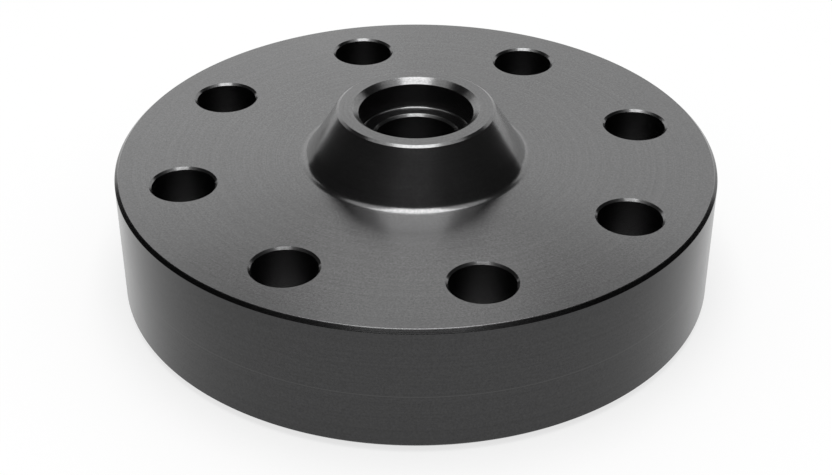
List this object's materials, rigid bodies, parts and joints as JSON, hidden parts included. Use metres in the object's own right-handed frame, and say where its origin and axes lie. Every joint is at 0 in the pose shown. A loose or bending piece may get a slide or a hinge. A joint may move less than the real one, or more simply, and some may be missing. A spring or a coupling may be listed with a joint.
{
  "type": "reducing flange",
  "caption": "Thick round reducing flange with a conical hub, a stepped pipe socket and bore, a ring of bolt holes and a raised mating face.",
  "frame": {"origin": "centre of the raised mating face, on the axis, where the flange rests", "axes": "+Z along the axis from the mating face to the hub; the bolt holes straddle the X and Y axes"},
  "size_m": [0.27, 0.27, 0.0845],
  "materials": {
    "blackened_steel": "turned, with fine rings left by the tool, then blackened to a satin sheen"
  },
  "bodies": {
    "root": {"flange": "blackened_steel"}
  },
  "joints": []
}
